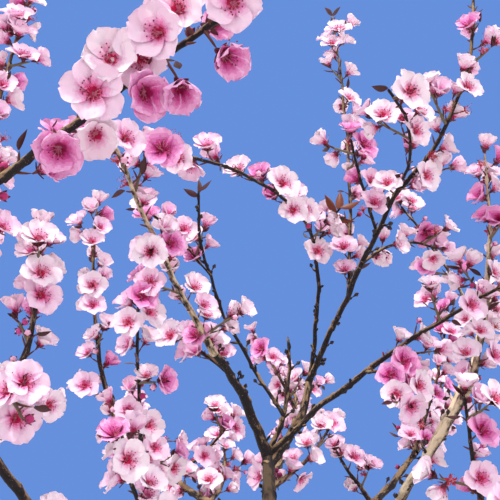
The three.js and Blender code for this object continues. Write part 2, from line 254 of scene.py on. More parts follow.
# Shapes as modelled, before they are scaled to the sizes that are set.
FLOWER_WIDE, BUD_WIDE, LEAF_LONG, LEAF_WIDE = 38, 8.5, 24, 5.2
LEAF_FOLDS = (0.7, 0.45, 0.9)  # how far each kind of leaf is folded
PETAL_LONG, PETAL_WIDE, PETAL_COUNT = 20.5, 10.2, 5
PETAL_OUT, PETAL_UP = 1.6, 5.4  # where a petal's foot stands on the calyx's rim
PETAL_SHARES = (0, 0.1, 0.28, 0.48, 0.66, 0.82, 0.93, 1)
PETAL_WIDTHS = (0.16, 0.3, 0.68, 0.93, 1, 0.93, 0.74, 0.38)
PETAL_GRIDS = ((5, 7), (10, 12), (20, 26))  # columns and rows of a petal's grid, by detail
CLOSE_UP = 2  # detail of the few flowers that are turned to the viewing point
ZONES = (0.13, 0.2, 0.28, 0.38, 0.5)  # where a petal's colour changes, as shares of its length
USUAL_FLUSH, DEEP_FLUSH = 0.92, 1.3  # how far the zones reach in usual and in deep pink flowers
STAMEN_FOOT = 5.2
STAMEN_LEANS = (16.9, 64.78333333)  # how far the innermost and outermost stamens lean out, in degrees
KINDS = {  # foot and tip angle of the petals for each variant, from cupped to wide open
    "open": ((68, 50), (60, 34), (52, 18), (44, 2)),
    "half": ((82, 64), (74, 46)),
}
# How far a calyx's sepals lean out behind each kind of flower.
SEPALS = {"open": 66, "half": 30, "spent": 62, "bud": 30, "closed": -20}

# Corners round each kind of limb's bark, and the step between its rings.
TUBES = {
    "trunk": (44, 5.5),
    "bough": (14, 4.5),
    "bough_spur": (6, 4),
    "stem": (9, 5),
    "twig": (6, 6),
    "spur": (5, 6),
}

# Bark: where its dark, brown and tan stand on the ramp, and how much painted sunlight lightens a limb's
# sunward side and painted shade darkens its other side.
BARK_RAMP = (0.45, 0.55, 0.66)
PAINTED_SUN_STRENGTH = 0.19
TRUNK_TAN, TRUNK_BROWN = 0.27, 0.7  # how much of the boughs' tan and brown the trunk's have

# The stage's floor and lights: radius, colours, strengths and the sun's width in degrees.
FLOOR_RADIUS = 6
SOFT_LIGHT, SOFT_STRENGTH = (0.97, 0.93, 1.0), 1.3
SUN_LIGHT, SUN_STRENGTH, SUN_WIDTH = (1.0, 0.96, 0.9), 2.2, 5


def linear(code):
    """A colour written as six hex digits, as the linear numbers that Blender's colour fields hold."""
    parts = [int(code[i : i + 2], 16) / 255 for i in (0, 2, 4)]
    return tuple(p / 12.92 if p <= 0.04045 else ((p + 0.055) / 1.055) ** 2.4 for p in parts)


def length_of(name, description, default, most):
    return bpy.props.FloatProperty(
        name=name, description=description, default=default, min=0, max=most, unit="LENGTH"
    )


def colour_of(name, description, code):
    return bpy.props.FloatVectorProperty(
        name=name, description=description, default=linear(code), size=3, min=0, max=1, subtype="COLOR"
    )


class BLOSSOM_PG_sizes(bpy.types.PropertyGroup):
    """Sizes of the tree's small parts."""

    flower_width: length_of("Flower width", "Width of an open flower", 0.045, 0.08)
    bud_width: length_of("Bud width", "Width of a round bud", 0.0085, 0.03)
    leaf_length: length_of("Leaf length", "Length of a young leaf", 0.024, 0.08)
    spur_length: length_of("Spur length", "Length of the longest fine twig", 0.018, 0.08)
    bark_relief: length_of("Bark relief", "Depth of the furrows in the trunk's bark", 0.0012, 0.01)
    knob_height: length_of("Knob height", "Height of the knobs where buds once sat", 0.0026, 0.01)


class BLOSSOM_PG_colours(bpy.types.PropertyGroup):
    """Colours of bark, petals and the parts round them."""

    # The bark's dark and tan also give the painted shade and the painted sunlight on the limbs' two sides.
    bark_dark: colour_of("Bark, dark", "Colour in the bark's hollows", "110b0e")
    bark_brown: colour_of("Bark, brown", "Main colour of the bark", "25191a")
    bark_tan: colour_of("Bark, tan", "Colour of rubbed and sunlit bark", "9c8360")
    pale_grey: colour_of("Pale bark, grey", "Main colour of the pale boughs", "a39378")
    pale_tan: colour_of("Pale bark, tan", "Light patches of the pale boughs", "dccdab")
    twig: colour_of("Twig", "Colour of the young twigs", "6e664e")
    spur: colour_of("Spur", "Colour of the short flowering spurs", "5c3228")
    pale_edge: colour_of("Pale petal, edge", "Rim of the palest petals", "fdebf6")
    pale_blush: colour_of("Pale petal, blush", "Middle of the palest petals", "fbdcee")
    pale_flush: colour_of("Pale petal, flush", "Inner part of the palest petals", "f5b4d8")
    pale_heart: colour_of("Pale petal, heart", "Foot of the palest petals", "de1e60")
    pink_edge: colour_of("Pink petal, edge", "Rim of the pink petals", "fcdef2")
    pink_blush: colour_of("Pink petal, blush", "Middle of the pink petals", "f9cce8")
    pink_flush: colour_of("Pink petal, flush", "Inner part of the pink petals", "ee92c8")
    pink_heart: colour_of("Pink petal, heart", "Foot of the pink petals", "d21a5e")
    rose_edge: colour_of("Rose petal, edge", "Rim of the deepest petals", "f3b6e0")
    rose_blush: colour_of("Rose petal, blush", "Middle of the deepest petals", "e996ce")
    rose_flush: colour_of("Rose petal, flush", "Inner part of the deepest petals", "d254a4")
    rose_heart: colour_of("Rose petal, heart", "Foot of the deepest petals", "b0105a")
    filament: colour_of("Filament", "Colour of the stamens' threads", "f0a2c0")
    anther: colour_of("Anther", "Colour of the stamens' heads", "8a2a3a")
    calyx: colour_of("Calyx", "Colour of the cup and star behind the petals", "5a1428")
    star: colour_of("Star", "Colour of the calyxes whose petals have fallen", "a81834")
    bud: colour_of("Bud", "Colour of the closed petals", "f3bcd8")
    bud_deep: colour_of("Bud, deep", "Colour of the petals of tighter buds", "b42c70")
    scale: colour_of("Bud scale", "Colour of the dark closed buds on bare boughs", "2a1512")
    leaf: colour_of("Leaf", "Colour of the young leaves", "45181a")
    leaf_bronze: colour_of("Leaf, bronze", "Colour of the leaves that the light shines through", "74340f")
    floor: colour_of("Floor", "Colour of the stage's floor", "c2c0bc")
    backdrop: colour_of("Backdrop", "Plain colour behind the tree", "6690dc")


# Growth rule.


def direction(heading, rise):
    h, r = math.radians(heading), math.radians(rise)
    return np.array([math.cos(r) * math.cos(h), math.cos(r) * math.sin(h), math.sin(r)])


def unit(vector):
    return vector / np.linalg.norm(vector)


def arc(start, heading, rise, length, turn, lift, steps):
    """Points along a line whose heading and rise change evenly from its start to its tip."""
    line = [start]
    for i in range(steps):
        share = (i + 0.5) / steps
        line.append(line[-1] + direction(heading + turn * share, rise + lift * share) * length / steps)
    return np.array(line)


def along(line, share):
    place = share * (len(line) - 1)
    i = min(int(place), len(line) - 2)
    return line[i] + (line[i + 1] - line[i]) * (place - i)


def way_at(line, share):
    i = min(int(share * (len(line) - 1)), len(line) - 2)
    return unit(line[i + 1] - line[i])


def across(way, angle):
    """A direction square to way, turned angle degrees round it."""
    side = np.array([-way[1], way[0], 0.0])
    side = np.array([1.0, 0.0, 0.0]) if np.linalg.norm(side) < 0.1 else unit(side)
    turn = math.radians(angle)
    cos, sin = math.cos(turn), math.sin(turn)
    return side * cos + np.cross(way, side) * sin + way * (way @ side) * (1 - cos)


def random_from(seed):
    """Even random numbers from 0 to 1 that are the same on every run."""
    state, whole = seed, 0xFFFFFFFF

    def draw():
        nonlocal state
        state = (state + 0x6D2B79F5) & whole
        t = ((state ^ (state >> 15)) * (1 | state)) & whole
        t = ((t + (t ^ (t >> 7)) * (61 | t)) & whole) ^ t
        return (t ^ (t >> 14)) / 4294967296

    return draw


class Room:
    """What already stands where: rods with a radius and the limb that they belong to."""

    def __init__(self):
        self.rods, self.packed = [], None

    def add(self, owner, a, b, wide):
        self.rods.append((owner, a, b, wide))
        self.packed = None

    def clear(self, owner, a, b, wide):
        """Whether the rod a-b keeps clear of every rod of other limbs."""
        if self.packed is None:
            owners, starts, ends, girths = zip(*self.rods)
            starts = np.array(starts)
            self.packed = np.array(owners), starts, np.array(ends) - starts, np.array(girths)
        owners, c, v, girths = self.packed
        u, w = b - a, a - c
        uu, uv, vv, uw, vw = u @ u, v @ u, np.sum(v * v, 1), w @ u, np.sum(v * w, 1)
        square = uu * vv - uv * uv
        s = np.where(square > 1e-9, np.clip((uv * vw - vv * uw) / np.maximum(square, 1e-9), 0, 1), 0)
        t = np.where(vv > 1e-9, (uv * s + vw) / np.maximum(vv, 1e-9), 0)
        past = (t < 0) | (t > 1)
        t = np.clip(t, 0, 1)
        s = np.where(past, np.clip((uv * t - uw) / uu, 0, 1) if uu > 1e-9 else 0, s)
        gaps = np.linalg.norm(w + np.outer(s, u) - v * t[:, None], axis=1)
        return bool(np.all((owners == owner) | (gaps > wide + girths + 1)))


def in_opening(place, wide):
    sight = place - VIEWPOINT
    far = np.linalg.norm(sight)
    margin = math.asin(wide / far)
    for heading, rise, half in OPENINGS:
        if math.acos(min(1, sight @ direction(heading, rise) / far)) < math.radians(half) + margin:
            return True
    return False


def trunk_axis(high):
    bow = math.sin(math.pi * high) * TRUNK_BOW
    sway = math.sin(2 * math.pi * high) * TRUNK_BOW * 0.5
    return FORK * high + np.array([bow, -sway, 0])


def trunk_girth(high, angle=0):
    flare = np.exp(-high * FORK[2] / FLARE_HEIGHT)
    ridge = 1 + FLARE_RIDGE * flare * np.cos(FLARE_ROOTS * angle)
    return (TRUNK_FOOT + (TRUNK_TOP - TRUNK_FOOT) * high + FLARE_DEPTH * flare) * ridge


class Limb:
    """A trunk, bough, stem or twig: its line, and how far it is from there to its flowing line."""

    def __init__(self, name, line, base, tip, sway=0.0, shift=0.0):
        self.name, self.line, self.base, self.tip, self.shift = name, line, base, tip, shift
        self.length = float(np.sum(np.linalg.norm(np.diff(line, axis=0), axis=1)))
        self.sway, self.phase = sway, float(line[0] @ np.array([0.37, 0.61, 0.23])) % 6.28

    def girth(self, share):
        return self.base + (self.tip - self.base) * share

    def flowing(self, shares):
        """Places on a smooth, slightly crooked curve through the line's points."""
        shares, line = np.atleast_1d(shares), self.line
        points = np.vstack([2 * line[0] - line[1], line, 2 * line[-1] - line[-2]])
        place = np.clip(shares, 0, 1) * (len(line) - 1)
        i = np.minimum(place.astype(int), len(line) - 2)
        t = (place - i)[:, None]
        a, b, c, d = (points[i + k] for k in range(4))
        bent, twisted = 2 * a - 5 * b + 4 * c - d, 3 * b - a - 3 * c + d
        curve = 0.5 * (2 * b + (c - a) * t + bent * t**2 + twisted * t**3)
        s, p = shares * self.length, self.phase
        wave = np.stack([np.sin(s / 21 + p), np.sin(s / 17 + 2 * p), np.sin(s / 26 + 3 * p)], 1)
        kink = np.stack([np.sin(s / 8 + 4 * p), np.sin(s / 9 + p), np.sin(s / 7 + 5 * p)], 1)
        crooked = self.sway * np.sin(np.pi * np.clip(shares, 0, 1))[:, None] * (wave + 0.35 * kink)
        return curve + crooked + self.shift

    def at(self, share):
        return self.flowing(share)[0]

    def way(self, share):
        ends = self.flowing(np.clip([share - 0.02, share + 0.02], 0, 1))
        return unit(ends[1] - ends[0])


class Bloom:
    """A spray of blossom: the limb it sits on, where, which way it faces and how big it is."""

    def __init__(self, limb, share, facing, size):
        self.limb, self.share, self.facing, self.size = limb, share, facing, size


def grow_mass(name, seed, limbs, room):
    """The side twigs and sprays of one mass, drawn in the same order as in the part's source."""
    random = random_from(seed)
    stem = limbs[name]
    line = stem.line
    length, reach = MASSES[name][4], MASSES[name][7]
    twigs, blooms, hearts = [], [], []

    def bloom(limb, share, angle, tip):
        way = way_at(limb.line, share)
        place = along(limb.line, share)
        lean = 0.15 if tip else 0.8 + 0.4 * random()
        facing = unit(way * (1 if tip else 0.45) + across(way, angle) * lean + np.array([0.1, -0.25, 0.1]))
        random()
        for size in (1, SMALLER):
            heart = place + facing * 0.5 * SPRAY_RIM * size
            wide = SPRAY_WIDE * size
            if any(np.linalg.norm(other - heart) < CLOSEST for other, _ in hearts):
                continue
            if in_opening(heart, 0.5 * wide) or not room.clear(name, heart, heart, wide):
                continue
            hearts.append((heart, wide))
            blooms.append(Bloom(limb, share, facing, size))
            break

    at, k = TWIG_FIRST, 0
    while at < length:
        share = min((at + 8 * random()) / length, 0.97)
        angle = k * GOLDEN + 50 * random()
        spread = math.radians(TWIG_SPREAD + 16 * random())
        long = TWIG_REACH * reach * (0.5 + 0.5 * random()) * (1 - 0.4 * share)
        turn = 20 * random() - 10
        lift = 15 * random()
        way = way_at(line, share)
        out = way * math.cos(spread) + across(way, angle) * math.sin(spread)
        heading, rise = math.degrees(math.atan2(out[1], out[0])), math.degrees(math.asin(out[2]))
        foot = along(line, share)
        for size in (1, SMALLER):
            twig = arc(foot, heading, rise, long * size, turn, lift, 2)
            free = all(
                room.clear(name, start, end, TWIG_BASE) and not in_opening(end, 4)
                for start, end in zip(twig, twig[1:])
            )
            if not free or long * size < TWIG_LEAST:
                continue
            twigs.append(Limb(name, twig, TWIG_BASE, TWIG_TIP, 0.8, stem.at(share) - foot))
            break
        at, k = at + TWIG_STEP, k + 1

    bloom(stem, 1, 0, True)
    for twig in twigs:
        bloom(twig, 1, 0, True)
    for twig in twigs:
        count = int((np.linalg.norm(twig.line[2] - twig.line[0]) - 14) // SPRAY_STEP)
        for i in range(1, count + 1):
            share = i / (count + 1)
            bloom(twig, share, i * GOLDEN + 90 * random(), False)
    at, i = 12, 0
    while at + SPRAY_STEP < length:
        share = (at + SPRAY_STEP * random()) / length
        bloom(stem, share, i * GOLDEN, False)
        at, i = at + SPRAY_STEP, i + 1
    for twig in twigs:
        for i in (1, 2):
            room.add(name, twig.line[i - 1], twig.line[i], TWIG_BASE)
    for heart, wide in hearts:
        room.add(name, heart, heart, wide)
    return twigs, blooms


class Tree:
    """The whole tree's limbs by name, and each mass's twigs and sprays."""

    def __init__(self):
        self.room = Room()
        rows = dict(BOUGHS)
        trunk = Limb("trunk", np.array([trunk_axis(i / 20) for i in range(21)]), TRUNK_FOOT, TRUNK_TOP)
        trunk.girth = trunk_girth
        self.limbs = {"trunk": trunk}
        for name, (parent, share, *rest) in MASSES.items():
            rows[name] = (parent, share, *rest[:5], None, STEM_TIP)
        for name, (parent, share, heading, rise, length, turn, lift, base, tip) in rows.items():
            if base is None:
                girth = float(self.limbs[parent].girth(share))
                base = min(girth if share == 1 else 0.7 * girth, STEM_BASE)
            steps = max(3, math.ceil(length / RING_STEP))
            start = along(self.limbs[parent].line, share)
            line = arc(start, heading, rise, length, turn, lift, steps)
            self.limbs[name] = Limb(name, line, base, tip, 1.6 if name in BOUGHS else 1.1)
        for name, limb in self.limbs.items():
            for i in range(len(limb.line) - 1):
                last = len(limb.line) - 1
                wide = max(limb.girth(i / last), limb.girth((i + 1) / last))
                self.room.add(name, limb.line[i], limb.line[i + 1], float(wide))
        stretches = [self.limbs[name].flowing(np.linspace(*ends, 30)) for name, ends in IN_SIGHT.items()]
        self.in_sight = np.concatenate(stretches)
        self.twigs, self.blooms = {}, {}
        for index, name in enumerate(self.limbs):
            if name in MASSES:
                grown_mass = grow_mass(name, 700 + 31 * index, self.limbs, self.room)
                self.twigs[name], self.blooms[name] = grown_mass


def hides(heart, line, aside):
    """Whether a flower stands between the viewing point and a line, less than aside from the sight to it."""
    sights, place = line - VIEWPOINT, heart - VIEWPOINT
    shares = sights @ place / np.sum(sights * sights, 1)
    gaps = np.linalg.norm(place - sights * shares[:, None], axis=1)
    return bool(np.any((shares < 1) & (gaps < aside)))


class Flower:
    """One open flower, half-open flower or bud."""

    def __init__(self, kind, place, facing, twist, scale, tint, detail):
        self.kind, self.place, self.facing, self.twist = kind, place, facing, twist
        self.scale, self.tint, self.detail = scale, tint, detail


def kind_at(draw, kinds):
    """The kind that a draw from 0 to 1 falls on, or none."""
    return next((kind for kind, limit in kinds if draw < limit), None)


class Dressing:
    """The finer growth on one mass or bough: fine twigs, flowers, buds and leaves."""

    def __init__(self, tree, name, seed, spur_length):
        self.tree, self.name, self.random = tree, name, random_from(seed)
        self.spurs, self.flowers, self.hearts = [], [], []
        self.leaves = []  # place, facing, twist, scale, kind and look of each
        self.deep = DEEP_ROSY_AND_BACKLIT if name in ROSY_AND_BACKLIT else DEEP_SHARE
        self.detail = int(name in FINE)
        self.stem = tree.limbs[name].flowing(np.linspace(0, 0.85, 40))
        self.end, self.bare = tree.limbs[name].at(1), BARE_TIPS.get(name, 0)
        for share, beside, before in TURNED.get(name, ()):
            self.turned(tree.limbs[name], share, beside, before)
        if name in BOUGHS:
            self.bough_spurs(tree.limbs[name])
            return
        for bloom in tree.blooms[name]:
            self.cluster(bloom)
        for limb in [tree.limbs[name], *tree.twigs[name]]:
            self.fine_twigs(limb, spur_length)
            self.tip(limb)

    def tint(self):
        draw = self.random()
        return DEEPEST if draw < self.deep else 1 if draw < self.deep + PINK_SHARE else 0

    def seat(self, kind, limb, share, angle, lean, facing=None):
        """Seats a flower on a limb where there is room, and tells whether there was."""
        way = limb.way(share)
        side = across(way, angle)
        if facing is None:
            facing = unit(way * 0.4 + side * lean + np.array([0.05, -0.45, -0.1]))
        outward = facing - way * (facing @ way)
        place = limb.at(share) + outward * 0.7 * float(limb.girth(share))
        heart = place + facing * HEART_HEIGHT[kind]
        twist, scale = 72 * self.random(), 0.88 + 0.22 * self.random()
        near = SPACING[kind] * (0.9 + 0.2 * self.random())
        if any(np.linalg.norm(other - heart) < 0.5 * (near + gap) for other, gap in self.hearts):
            return False
        if in_opening(heart, 0.3 * near) or not self.tree.room.clear(self.name, heart, heart, 0.4 * near):
            return False
        if hides(heart, self.tree.in_sight, 0.5 * near):
            return False
        if hides(heart, self.stem, 12) and self.random() < 0.7:
            return False
        if np.linalg.norm(heart - self.end) < self.bare:
            return False
        self.hearts.append((heart, near))
        # In a rosy mass the flowers that face the viewing point are deep pink: painted light shining through
        # their shaded, backlit petals.
        tint = DEEPEST if self.name in ROSY_AND_BACKLIT and facing @ TO_VIEW > 0.55 else self.tint()
        self.flowers.append(Flower(kind, place, facing, twist, scale, tint, self.detail))
        return True

    def turned(self, limb, share, beside, before):
        """An open flower that faces the viewing point, on a spur of its own."""
        start = limb.at(share)
        sight = unit(VIEWPOINT - start)
        side = unit(np.cross(limb.way(share), sight)) * beside
        end = start + side * 0.8 + sight * before
        self.spurs.append(Limb(self.name, np.array([start, 0.5 * (start + end) + sight * 2, end]), 1.4, 1.1))
        facing = unit(sight + 0.02 * side + np.array([0.25, 0, 0.2]) * math.sin(19 * share))
        self.hearts.append((end + facing * HEART_HEIGHT["open"], 1.4 * SPACING["open"]))
        tint = 0 if before < 0 else DEEPEST if beside > 0 else 1
        self.flowers.append(Flower("open", end, facing, 360 * share * 7, 1.06, tint, CLOSE_UP))

    def cluster(self, bloom):
        """A spray: an open flower with others and buds close by on the same limb."""
        limb, share, random = bloom.limb, bloom.share, self.random
        self.seat("open", limb, share, 0, 1, bloom.facing)
        for i in range(3 if bloom.size == 1 else 2):
            offset = (10 + 12 * random()) * (1 if i % 2 else -1) / limb.length
            kind = kind_at(random(), SPRAY_KINDS)
            nearby = min(max(share + offset, 0.02), 1)
            self.seat(kind, limb, nearby, (i + 1) * GOLDEN + 60 * random(), 0.8 + 0.5 * random())
        if random() < 0.3:
            self.leaf(limb, share, 360 * random())

    def fine_twigs(self, limb, longest):
        random = self.random
        at, k = 6 + 6 * random(), 0
        while at < limb.length - 4:
            share, angle = at / limb.length, k * GOLDEN + 60 * random()
            line = self.spur_line(limb, share, angle, longest * (0.35 + 0.65 * random()))
            kind = kind_at(random(), TWIG_KINDS)
            if self.tree.room.clear(self.name, line[1], line[3], 1.2) and not in_opening(line[3], 3):
                spur = Limb(self.name, line, 1.3, 0.9, 0.3)
                self.spurs.append(spur)
                if kind:
                    self.seat(kind, spur, 1, 0, 0.2)
                else:
                    self.leaf(spur, 1, 360 * random())
                if random() < 0.12:
                    self.seat("bud", spur, 0.5, 360 * random(), 0.9)
            at, k = at + 9 + 6 * random(), k + 1

    def spur_line(self, limb, share, angle, long):
        """The line of a short twig that leans out from a limb."""
        random, way = self.random, limb.way(share)
        spread = math.radians(38 + 24 * random())
        side = across(way, angle)
        out = way * math.cos(spread) + side * math.sin(spread)
        heading = math.degrees(math.atan2(out[1], out[0]))
        rise = math.degrees(math.asin(max(-1, min(1, out[2]))))
        start = limb.at(share) + side * 0.5 * float(limb.girth(share))
        return arc(start, heading, rise, long, 16 * random() - 8, 14 * random(), 3)

    def bough_spurs(self, limb):
        """Short dark spurs along a bough, few with a flower or a bud, and most of them where it flowers."""
        random, flowers_from = self.random, FLOWERING.get(self.name, 1)
        at, k = 16 + 10 * random(), 0
        while at < limb.length - 8:
            share, angle = at / limb.length, k * GOLDEN + 60 * random()
            rich = share > flowers_from
            long = 5 + 9 * random() ** 2 + float(limb.girth(share)) * 0.5
            line = self.spur_line(limb, share, angle, long)
            spur = Limb(self.name, line, 2.2, 1.9)
            draw = random() * (RICH_DRAW if rich else 1)
            if not in_opening(line[3], 2):
                self.spurs.append(spur)
                self.seat(kind_at(draw, SPUR_KINDS), spur, 1, 0, 0.2)
                if rich:
                    self.seat("open", spur, 0.8, 150 + 60 * draw, 1.2)
                elif draw > 0.6:
                    self.seat("closed", spur, 0.7, 360 * draw, 0.9)
            at, k = at + (11 + 7 * random() if rich else 18 + 18 * random()), k + 1

    def tip(self, limb):
        self.seat("bud", limb, 0.95, 60 * self.random(), 0.7)
        least = 0.9 if self.bare and limb.base > TWIG_BASE else 0.45
        for k in range(2):
            self.leaf(limb, 1, 160 * k + 40 * self.random(), least)

    def leaf(self, limb, share, angle, least=0.45):
        way = limb.way(share)
        facing = unit(way * 0.9 + across(way, angle) * 0.6)
        scale = least + 0.5 * self.random()
        if not in_opening(limb.at(share) + facing * 12, 4):
            twist, kind = 360 * self.random(), int(len(LEAF_FOLDS) * self.random())
            self.leaves.append((limb.at(share), facing, twist, scale, kind, 0))


@functools.lru_cache(maxsize=1)
def grown(spur_length):
    """The grown tree and each mass's finer growth."""
    tree = Tree()
    named = enumerate([*MASSES, *BOUGHS])
    dressings = {name: Dressing(tree, name, 9100 + 17 * i, spur_length) for i, name in named}
    return tree, dressings


def growth(context):
    return grown(context.scene.blossom_sizes.spur_length / MM)


# Meshes.


class Heap:
    """Triangles gathered for one piece."""

    def __init__(self):
        self.places, self.faces, self.looks, self.grain, self.weather, self.count = [], [], [], [], [], 0

    def add(self, places, faces, looks, grain=None, weather=None):
        self.places.append(places)
        self.faces.append(faces + self.count)
        self.looks.append(np.broadcast_to(looks, len(faces)))
        if grain is not None:
            self.grain.append(grain)
            self.weather.append(weather)
        self.count += len(places)

    def copies(self, shape, places, turns, scales, shifts=None):
        """Adds many copies of one shape: places n×3, turns n×3×3 and scales n, looks shifted by shifts."""
        points, faces, looks = shape
        moved = np.einsum("nij,pj->npi", turns * scales[:, None, None], points) + places[:, None, :]
        steps = np.arange(len(places)) * len(points)
        copied = (faces[None] + steps[:, None, None]).reshape(-1, 3)
        shown = looks[None] + (0 if shifts is None else shifts[:, None])
        self.add(moved.reshape(-1, 3), copied, np.broadcast_to(shown, (len(places), len(faces))).reshape(-1))

    def piece(self, name, materials, slot, nodes):
        """Makes the piece, which rides on the tree's one body and stands for the given nodes."""
        places = np.concatenate(self.places) * MM
        faces = np.concatenate(self.faces).astype(np.int32)
        mesh = bpy.data.meshes.new(name)
        mesh.vertices.add(len(places))
        mesh.vertices.foreach_set("co", places.astype(np.float32).ravel())
        mesh.loops.add(faces.size)
        mesh.loops.foreach_set("vertex_index", faces.ravel())
        mesh.polygons.add(len(faces))
        mesh.polygons.foreach_set("loop_start", np.arange(0, faces.size, 3, dtype=np.int32))
        mesh.polygons.foreach_set("material_index", np.concatenate(self.looks).astype(np.int32))
        if self.grain:
            grain = mesh.attributes.new("grain", "FLOAT_VECTOR", "POINT")
            grain.data.foreach_set("vector", (np.concatenate(self.grain) * MM).astype(np.float32).ravel())
            weather = mesh.attributes.new("weather", "FLOAT", "POINT")
            weather.data.foreach_set("value", np.concatenate(self.weather).astype(np.float32))
        mesh.update(calc_edges=True)
        mesh.validate()
        mesh.shade_smooth()
        for material in materials:
            mesh.materials.append(material)
        made = bpy.data.objects.new(name, mesh)
        bpy.context.scene.collection.objects.link(made)
        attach(made, "root")
        if nodes:
            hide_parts(*nodes)
        return made


def taken(bm):
    """The triangles of a bmesh as arrays, to copy many times. The bmesh is freed."""
    bmesh.ops.triangulate(bm, faces=bm.faces[:])
    bm.verts.index_update()
    points = np.array([v.co[:] for v in bm.verts])
    faces = np.array([[v.index for v in f.verts] for f in bm.faces])
    looks = np.array([f.material_index for f in bm.faces])
    bm.free()
    return points, faces, looks


def turns_for(facings, twists):
    """Matrices that turn +Z to each facing and +X round it by each twist."""
    made = np.zeros((len(facings), 3, 3))
    for i, (facing, twist) in enumerate(zip(facings, twists)):
        side = across(facing, twist)
        made[i] = np.stack([side, np.cross(facing, side), facing], 1)
    return made


@functools.lru_cache(maxsize=None)
def rolled_sheet(rings, sides):
    """A grid of quads to roll into a tube: each corner's ring and side number, and its triangles."""
    bm = bmesh.new()
    bmesh.ops.create_grid(bm, x_segments=rings, y_segments=sides, size=1)
    points, faces, _ = taken(bm)
    columns = np.unique(np.round(points[:, 0], 5))
    rows = np.unique(np.round(points[:, 1], 5))
    ring = np.searchsorted(columns, np.round(points[:, 0], 5))
    side = np.searchsorted(rows, np.round(points[:, 1], 5)) % (len(rows) - 1)
    return ring, side, faces, len(columns), len(rows) - 1


def carried_along(ways):
    """Two directions square to the limb at each of its rings, carried along it without a twist."""
    side, sides = across(ways[0], 0), []
    for way in ways:
        side = unit(side - way * (side @ way))
        sides.append(side)
    return np.array(sides), np.cross(sides, ways)


def add_tube(heap, limb, kind, relief, look=0, girth=None, lead=0, painted_sun_added=0):
    """A limb's bark: rings along its flowing line, with relief. The first stands lead inside its parent."""
    sides, step = TUBES[kind]
    ring, side, faces, ring_count, side_count = rolled_sheet(max(3, int(limb.length / step)), sides)
    shares = np.linspace(0, 1, ring_count)
    centres = limb.flowing(shares)
    ways = np.gradient(centres, axis=0)
    ways /= np.linalg.norm(ways, axis=1)[:, None]
    centres[0] -= lead * ways[0]
    u, w = carried_along(ways)
    angles = np.arange(side_count) * 2 * math.pi / side_count
    around, far = np.meshgrid(angles, shares * limb.length)
    base = girth(shares, angles) if girth else np.array([[float(limb.girth(share))] for share in shares])
    base = base * np.ones_like(around)
    rounded = np.clip((limb.length - far) / max(0.7 * limb.tip, 1), 0, 1)
    radius = (base + relief(around, far, base, limb)) * np.sqrt(1 - (1 - rounded) ** 2)
    spokes = np.cos(angles)[None, :, None] * u[:, None] + np.sin(angles)[None, :, None] * w[:, None]
    places = (centres[:, None] + spokes * radius[:, :, None]).reshape(-1, 3)
    grain = np.stack([np.cos(around) * base, np.sin(around) * base, far + 1000 * limb.phase], 2)
    a, b, c = (ring * side_count + side)[faces].T
    whole = (a != b) & (b != c) & (a != c)
    # Painted sunlight and painted shade: how far each corner faces the sun, plus a lift for the whole limb;
    # the bark's colour ramp makes it lighter or darker.
    lit = SUNWARD - ways * (ways @ SUNWARD)[:, None]
    lit /= np.sqrt(np.linalg.norm(lit, axis=1) + 0.01)[:, None]
    weather = np.einsum("rsk,rk->rs", spokes, lit).reshape(-1) + painted_sun_added
    heap.add(places, np.stack([c, b, a], 1)[whole], look, grain.reshape(-1, 3), weather)


def lumps(around, far, radius, limb, scale, stretch):
    """Smooth noise from -1 to 1 on a limb's surface, with lumps of about scale, stretched along the limb."""
    x, y = np.cos(around) * radius / scale, np.sin(around) * radius / scale
    z = far / (scale * stretch) + limb.phase * 7
    flat = [noise.noise(Vector(place)) for place in zip(x.ravel(), y.ravel(), z.ravel())]
    return np.array(flat).reshape(around.shape)


def knobs(around, far, radius, limb, spacing, height, wide):
    """Knobs at bud scars, a golden angle apart along the limb."""
    made = np.zeros_like(around)
    for k in range(int(limb.length / spacing)):
        at = (k + 0.5 + 0.3 * math.sin(9 * k + limb.phase)) * spacing
        turn = math.radians(k * GOLDEN) + limb.phase
        off = np.abs((around - turn + math.pi) % (2 * math.pi) - math.pi) * radius
        made += np.exp(-((far - at) ** 2 + off**2) / wide**2)
    return made * height


def bough_relief(knob_height):
    def relief(around, far, radius, limb):
        bumps = 0.07 * radius * lumps(around, far, radius, limb, 9, 1.6)
        fine = 0.035 * radius * lumps(around, far, radius, limb, 3.2, 1.2)
        collar = 0.4 * radius * np.exp(-far / (1.3 * limb.base))
        return bumps + fine + collar + knobs(around, far, radius, limb, 27, knob_height, 0.55 * limb.base + 1)

    return relief


def twig_relief(knob_height):
    def relief(around, far, radius, limb):
        collar = 0.25 * radius * np.exp(-far / (2 * limb.base))
        return collar + knobs(around, far, radius, limb, 15, knob_height, 2.2)

    return relief


def trunk_relief(depth):
    def relief(around, far, radius, limb):
        furrows = lumps(around, far, radius, limb, 9, 5)
        bands = lumps(around, far, radius, limb, 22, 0.35)
        waves = lumps(around, far, radius, limb, 34, 2)
        scars = knobs(around, far, radius, limb, 210, 3.2, 11)
        return depth * (1.1 * furrows + 0.55 * bands + 1.6 * waves) + scars

    return relief


